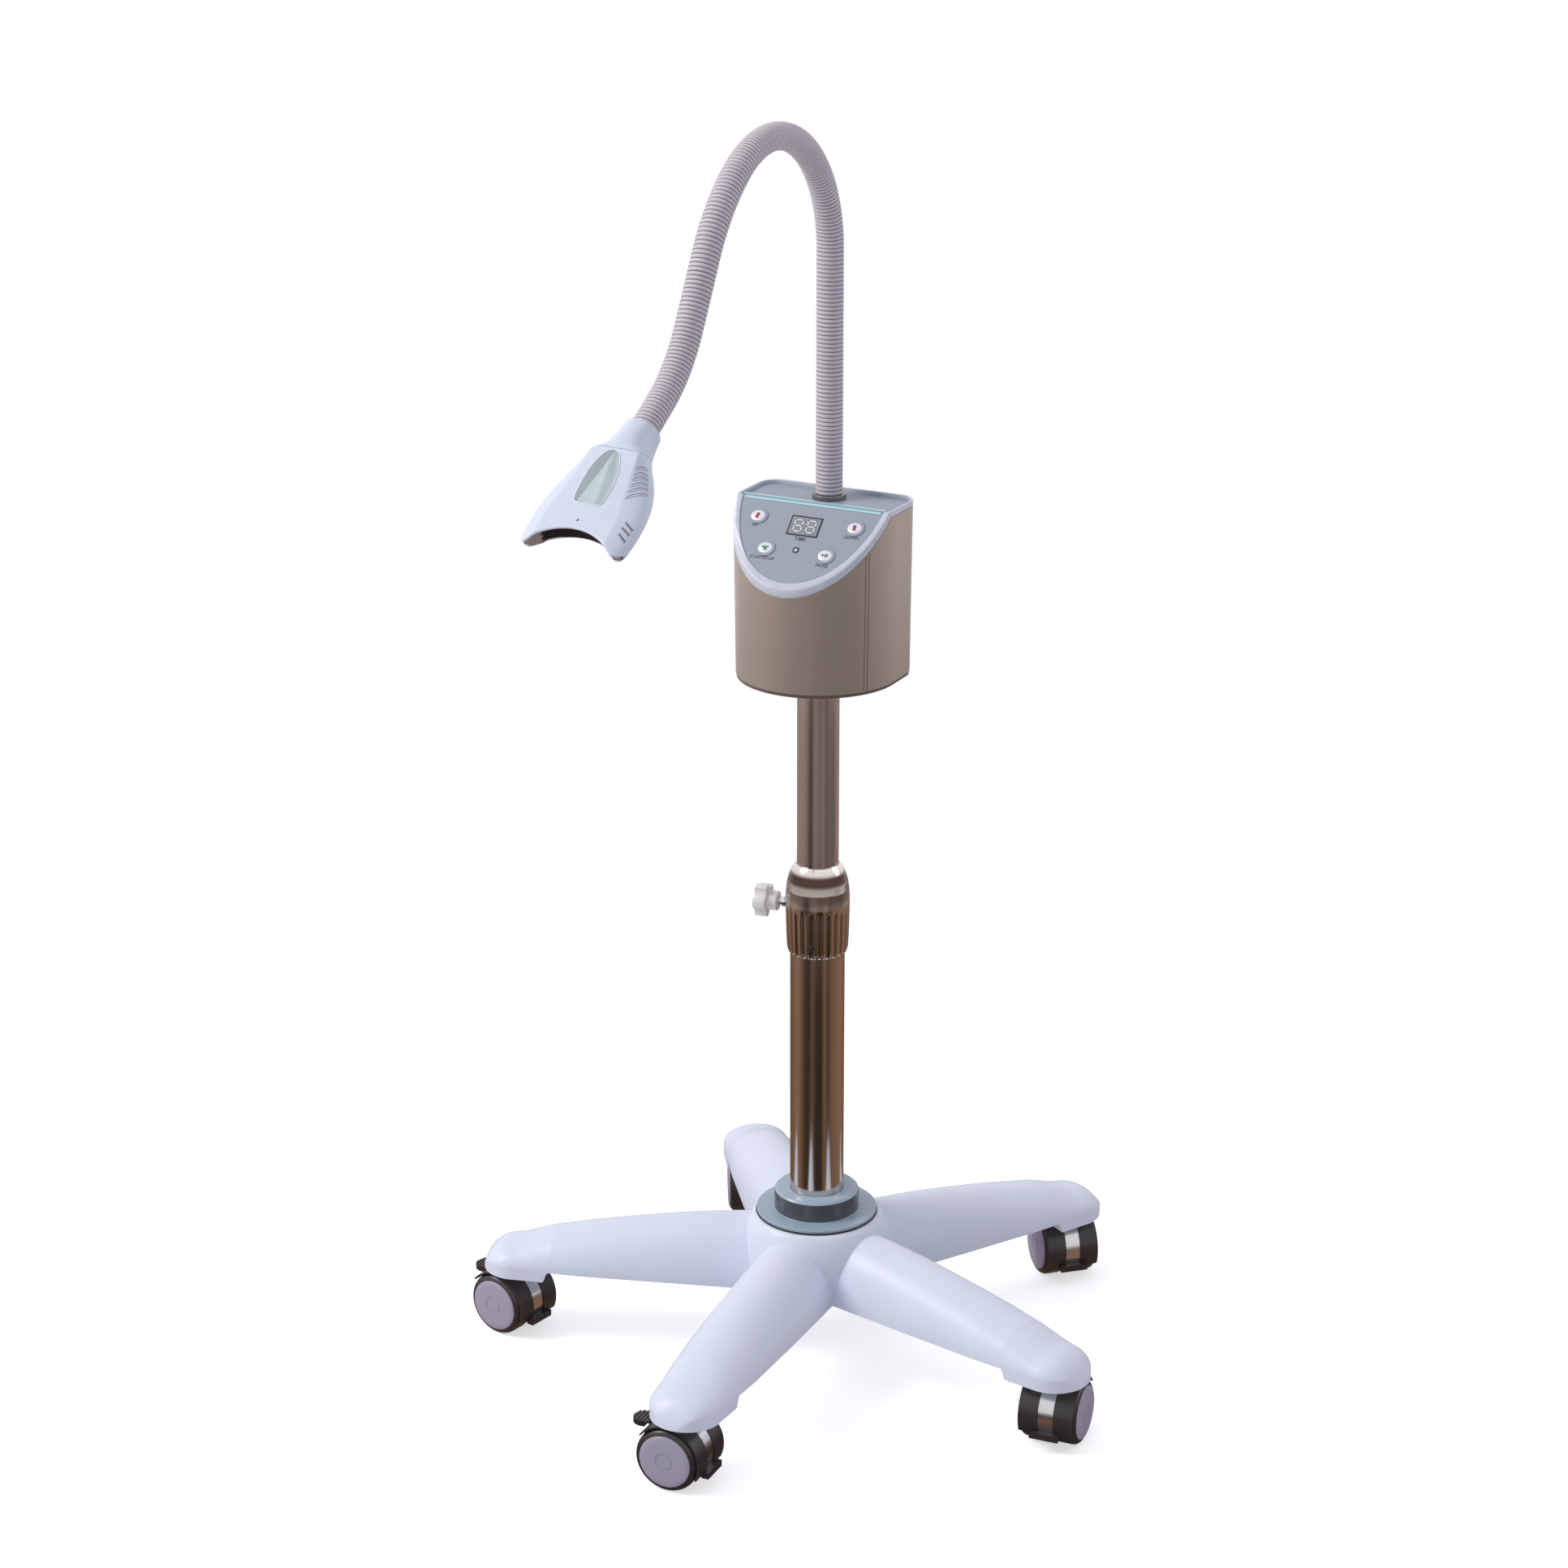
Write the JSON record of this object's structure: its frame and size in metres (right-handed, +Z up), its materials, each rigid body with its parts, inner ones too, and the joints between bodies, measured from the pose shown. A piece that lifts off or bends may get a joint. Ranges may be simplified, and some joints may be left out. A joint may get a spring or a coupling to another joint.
{
  "type": "teeth whitening lamp",
  "caption": "Teeth whitening lamp with a sloped control box on a height-adjustable pole, a gooseneck with an arched mouth-side lamp head, and a castor base.",
  "frame": {"origin": "on the floor, on the axis of the pole", "axes": "+Z up along the pole, -Y towards the front of the control box and the lamp head"},
  "size_m": [0.6239, 0.7124, 1.1655],
  "materials": {
    "white_enamel": "gloss",
    "grey_cap": "satin",
    "tube_chrome": "polished",
    "collar_chrome": "polished",
    "castor_black": "satin",
    "castor_metal": "polished",
    "wheel_grey": "satin",
    "knob_white": "gloss",
    "bush_plastic": "matte",
    "case_silver": "satin",
    "case_white": "gloss",
    "panel_grey": "satin",
    "plate_dark": "satin",
    "board_green": "matte",
    "display_dark": "gloss",
    "button_white": "gloss",
    "supply_metal": "satin",
    "inlet_black": "matte",
    "screw_steel": "satin",
    "neck_steel": "satin",
    "head_white": "gloss",
    "window_glass": "gloss",
    "lens_dark": "gloss"
  },
  "bodies": {
    "base": {"star_base": "white_enamel", "base_flange": "grey_cap", "lower_tube": "tube_chrome", "collar": "collar_chrome", "guide_bush": "bush_plastic"},
    "clamp": {"clamp_stud": "castor_metal", "clamp_knob": "knob_white"},
    "glide": {"glide_plug": "bush_plastic"},
    "mast": {"upper_tube": "tube_chrome", "housing": "case_silver", "bezel": "case_white", "bottom_plate": "plate_dark", "box_screws": "screw_steel", "control_panel": "panel_grey", "circuit_board": "board_green", "display": "display_dark", "top_panel": "panel_grey", "neck_nut": "collar_chrome", "power_supply": "supply_metal", "inlet": "inlet_black", "neck_riser": "neck_steel"},
    "neck_middle": {"neck_link": "neck_steel"},
    "neck_upper": {"neck_arch": "neck_steel", "neck_drop": "neck_steel"},
    "head": {"socket": "head_white", "top_shell": "head_white", "bottom_shell": "head_white", "window": "window_glass", "led_board": "board_green", "mouth_lens": "lens_dark", "head_screws": "screw_steel"},
    "up_key": {"up_button": "button_white"},
    "start_key": {"start_button": "button_white"},
    "down_key": {"down_button": "button_white"},
    "pause_key": {"pause_button": "button_white"},
    "castor_1": {"castor_1_yoke": "castor_metal", "castor_1_hood": "castor_black"},
    "castor_1_left": {"castor_1_wheel_a": "wheel_grey"},
    "castor_1_right": {"castor_1_wheel_b": "wheel_grey"},
    "castor_1_brake": {"castor_1_pedal": "castor_black"},
    "castor_2": {"castor_2_yoke": "castor_metal", "castor_2_hood": "castor_black"},
    "castor_2_left": {"castor_2_wheel_a": "wheel_grey"},
    "castor_2_right": {"castor_2_wheel_b": "wheel_grey"},
    "castor_2_brake": {"castor_2_pedal": "castor_black"},
    "castor_3": {"castor_3_yoke": "castor_metal", "castor_3_hood": "castor_black"},
    "castor_3_left": {"castor_3_wheel_a": "wheel_grey"},
    "castor_3_right": {"castor_3_wheel_b": "wheel_grey"},
    "castor_3_brake": {"castor_3_pedal": "castor_black"},
    "castor_4": {"castor_4_yoke": "castor_metal", "castor_4_hood": "castor_black"},
    "castor_4_left": {"castor_4_wheel_a": "wheel_grey"},
    "castor_4_right": {"castor_4_wheel_b": "wheel_grey"},
    "castor_4_brake": {"castor_4_pedal": "castor_black"},
    "castor_5": {"castor_5_yoke": "castor_metal", "castor_5_hood": "castor_black"},
    "castor_5_left": {"castor_5_wheel_a": "wheel_grey"},
    "castor_5_right": {"castor_5_wheel_b": "wheel_grey"},
    "castor_5_brake": {"castor_5_pedal": "castor_black"}
  },
  "joints": [
    {"name": "mast_height", "type": "slide", "parent": "base", "child": "glide", "axis": [0, 0, 1], "range_m": [-0.12, 0.15]},
    {"name": "mast_turn", "type": "hinge", "parent": "glide", "child": "mast", "pos_m": [0, 0, 0.5], "axis": [0, 0, 1], "range_deg": [-170, 170]},
    {"name": "clamp_turn", "type": "hinge", "parent": "base", "child": "clamp", "pos_m": [-0.03951, -0.00626, 0.443], "axis": [-0.9877, -0.1564, 0], "range_deg": [-180, 180]},
    {"name": "neck_side_bend", "type": "hinge", "parent": "mast", "child": "neck_middle", "pos_m": [0, 0.02, 0.88], "axis": [0, 1, 0], "range_deg": [-25, 25], "deforming": ["neck_riser"]},
    {"name": "neck_low_bend", "type": "hinge", "parent": "neck_middle", "child": "neck_upper", "pos_m": [0, 0.02, 0.99], "axis": [1, 0, 0], "range_deg": [-25, 25], "deforming": ["neck_link"]},
    {"name": "neck_high_bend", "type": "hinge", "parent": "neck_upper", "child": "head", "pos_m": [0.00311, -0.26191, 0.99589], "axis": [1, 0, 0], "range_deg": [-25, 25], "deforming": ["neck_drop"]},
    {"name": "up_press", "type": "slide", "parent": "mast", "child": "up_key", "axis": [0, 0.7071, -0.7071], "range_m": [0, 0.0012], "stiffness_N_per_m": 400, "springref_m": -0.001},
    {"name": "start_press", "type": "slide", "parent": "mast", "child": "start_key", "axis": [0, 0.7071, -0.7071], "range_m": [0, 0.0012], "stiffness_N_per_m": 400, "springref_m": -0.001},
    {"name": "down_press", "type": "slide", "parent": "mast", "child": "down_key", "axis": [0, 0.7071, -0.7071], "range_m": [0, 0.0012], "stiffness_N_per_m": 400, "springref_m": -0.001},
    {"name": "pause_press", "type": "slide", "parent": "mast", "child": "pause_key", "axis": [0, 0.7071, -0.7071], "range_m": [0, 0.0012], "stiffness_N_per_m": 400, "springref_m": -0.001},
    {"name": "castor_1_swivel", "type": "hinge", "parent": "base", "child": "castor_1", "pos_m": [0.01437, -0.28364, 0.075], "axis": [0, 0, 1], "continuous": true},
    {"name": "castor_1_left_roll", "type": "hinge", "parent": "castor_1", "child": "castor_1_left", "pos_m": [0.00537, -0.28395, 0.03], "axis": [0.0349, -0.9994, 0], "continuous": true},
    {"name": "castor_1_right_roll", "type": "hinge", "parent": "castor_1", "child": "castor_1_right", "pos_m": [0.00537, -0.28395, 0.03], "axis": [0.0349, -0.9994, 0], "continuous": true},
    {"name": "castor_1_pedal_press", "type": "hinge", "parent": "castor_1", "child": "castor_1_brake", "pos_m": [-0.01062, -0.28451, 0.0515], "axis": [0.0349, -0.9994, 0], "range_deg": [0, 12]},
    {"name": "castor_2_swivel", "type": "hinge", "parent": "base", "child": "castor_2", "pos_m": [0.27419, -0.07398, 0.075], "axis": [0, 0, 1], "continuous": true},
    {"name": "castor_2_left_roll", "type": "hinge", "parent": "castor_2", "child": "castor_2_left", "pos_m": [0.27357, -0.065, 0.03], "axis": [-0.9976, -0.0698, 0], "continuous": true},
    {"name": "castor_2_right_roll", "type": "hinge", "parent": "castor_2", "child": "castor_2_right", "pos_m": [0.27357, -0.065, 0.03], "axis": [-0.9976, -0.0698, 0], "continuous": true},
    {"name": "castor_2_pedal_press", "type": "hinge", "parent": "castor_2", "child": "castor_2_brake", "pos_m": [0.27245, -0.04904, 0.0515], "axis": [-0.9976, -0.0698, 0], "range_deg": [0, 12]},
    {"name": "castor_3_swivel", "type": "hinge", "parent": "base", "child": "castor_3", "pos_m": [0.15509, 0.23791, 0.075], "axis": [0, 0, 1], "continuous": true},
    {"name": "castor_3_left_roll", "type": "hinge", "parent": "castor_3", "child": "castor_3_left", "pos_m": [0.14896, 0.24449, 0.03], "axis": [-0.7314, -0.682, 0], "continuous": true},
    {"name": "castor_3_right_roll", "type": "hinge", "parent": "castor_3", "child": "castor_3_right", "pos_m": [0.14896, 0.24449, 0.03], "axis": [-0.7314, -0.682, 0], "continuous": true},
    {"name": "castor_3_pedal_press", "type": "hinge", "parent": "castor_3", "child": "castor_3_brake", "pos_m": [0.13804, 0.2562, 0.0515], "axis": [-0.7314, -0.682, 0], "range_deg": [0, 12]},
    {"name": "castor_4_swivel", "type": "hinge", "parent": "base", "child": "castor_4", "pos_m": [-0.17834, 0.22102, 0.075], "axis": [0, 0, 1], "continuous": true},
    {"name": "castor_4_left_roll", "type": "hinge", "parent": "castor_4", "child": "castor_4_left", "pos_m": [-0.18284, 0.22881, 0.03], "axis": [-0.866, -0.5, 0], "continuous": true},
    {"name": "castor_4_right_roll", "type": "hinge", "parent": "castor_4", "child": "castor_4_right", "pos_m": [-0.18284, 0.22881, 0.03], "axis": [-0.866, -0.5, 0], "continuous": true},
    {"name": "castor_4_pedal_press", "type": "hinge", "parent": "castor_4", "child": "castor_4_brake", "pos_m": [-0.19084, 0.24267, 0.0515], "axis": [-0.866, -0.5, 0], "range_deg": [0, 12]},
    {"name": "castor_5_swivel", "type": "hinge", "parent": "base", "child": "castor_5", "pos_m": [-0.26531, -0.10131, 0.075], "axis": [0, 0, 1], "continuous": true},
    {"name": "castor_5_left_roll", "type": "hinge", "parent": "castor_5", "child": "castor_5_left", "pos_m": [-0.27418, -0.09975, 0.03], "axis": [-0.1736, -0.9848, 0], "continuous": true},
    {"name": "castor_5_right_roll", "type": "hinge", "parent": "castor_5", "child": "castor_5_right", "pos_m": [-0.27418, -0.09975, 0.03], "axis": [-0.1736, -0.9848, 0], "continuous": true},
    {"name": "castor_5_pedal_press", "type": "hinge", "parent": "castor_5", "child": "castor_5_brake", "pos_m": [-0.28993, -0.09697, 0.0515], "axis": [-0.1736, -0.9848, 0], "range_deg": [0, 12]}
  ]
}
